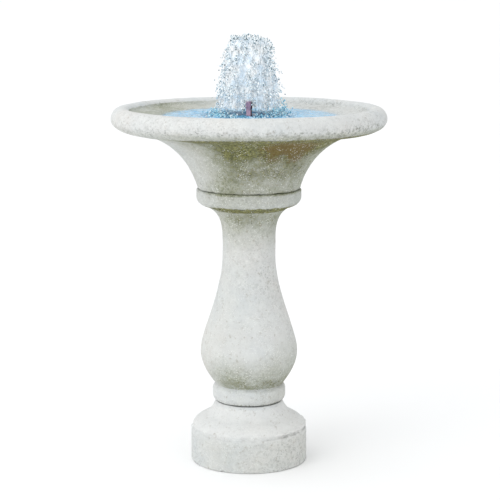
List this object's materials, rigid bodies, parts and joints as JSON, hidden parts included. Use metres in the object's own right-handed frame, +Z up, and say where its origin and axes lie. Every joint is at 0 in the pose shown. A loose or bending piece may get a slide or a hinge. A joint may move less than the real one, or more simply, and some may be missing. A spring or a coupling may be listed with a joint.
{
  "type": "pedestal fountain with submersible pump",
  "caption": "Free-standing cast stone pedestal fountain whose bowl holds a submersible pump that feeds a copper riser, a spray cap and a standing jet of water.",
  "frame": {"origin": "centre of the plinth's underside, on the floor", "axes": "+Z up along the column, front towards -Y, the pump's rotor axis along X with its intake towards +X"},
  "size_m": [0.612, 0.612, 0.962],
  "materials": {
    "stone": "weathered cast stone, pitted, with moss and rust stains",
    "foam": "open-cell foam",
    "rubber": "matte black rubber",
    "plastic": "moulded black plastic",
    "hose": "soft milky vinyl hose",
    "copper": "dulled copper tube",
    "winding": "enamelled copper wire",
    "steel": "bare steel",
    "ceramic": "ground white ceramic",
    "ferrite": "dark moulded ferrite",
    "resin": "cast black epoxy",
    "water": "moving clear water"
  },
  "bodies": {
    "base": {"base_plinth": "stone", "column_gasket": "foam"},
    "column": {"column": "stone", "bowl_gasket": "foam"},
    "bowl": {"bowl": "stone"},
    "stopper": {"bowl_stopper": "rubber"},
    "pump": {"pump_housing": "plastic", "suction_cup_1": "rubber", "suction_cup_2": "rubber", "suction_cup_3": "rubber", "suction_cup_4": "rubber", "stator_core": "steel", "coil_bobbin_left": "plastic", "coil_bobbin_right": "plastic", "stator_coil_left": "winding", "stator_coil_right": "winding", "potting_resin": "resin", "cord_gland": "rubber", "impeller_shaft": "ceramic", "shaft_bush_rear": "rubber", "shaft_bush_front": "rubber", "volute_cover": "plastic", "volute_seal": "rubber", "outlet_coupling": "hose", "hose_clamp_lower": "steel", "hose_clamp_upper": "steel", "riser_pipe": "copper"},
    "rotor": {"rotor_magnet": "ferrite", "impeller": "plastic"},
    "strainer": {"strainer_cover": "plastic", "filter_foam": "foam"},
    "dial": {"flow_dial": "plastic"},
    "nozzle": {"nozzle_cap": "copper", "nozzle_washer": "rubber", "water_plume": "water"}
  },
  "joints": [
    {"name": "column_lift", "type": "slide", "parent": "base", "child": "column", "axis": [0, 0, 1], "range_m": [0, 0.04]},
    {"name": "bowl_lift", "type": "slide", "parent": "column", "child": "bowl", "axis": [0, 0, 1], "range_m": [0, 0.05]},
    {"name": "stopper_pull", "type": "slide", "parent": "bowl", "child": "stopper", "axis": [0, 0, 1], "range_m": [0, 0.05]},
    {"name": "pump_lift", "type": "slide", "parent": "bowl", "child": "pump", "axis": [0, 0, 1], "range_m": [0, 0.16]},
    {"name": "rotor_spin", "type": "hinge", "parent": "pump", "child": "rotor", "pos_m": [0, 0, 0.688], "axis": [1, 0, 0], "continuous": true},
    {"name": "strainer_slide", "type": "slide", "parent": "pump", "child": "strainer", "axis": [1, 0, 0], "range_m": [0, 0.035]},
    {"name": "flow_dial_turn", "type": "hinge", "parent": "strainer", "child": "dial", "pos_m": [0.034, 0, 0.688], "axis": [1, 0, 0], "range_deg": [0, 90], "deforming": ["water_plume"]},
    {"name": "nozzle_pull", "type": "slide", "parent": "pump", "child": "nozzle", "axis": [0, 0, 1], "range_m": [0, 0.02]}
  ]
}
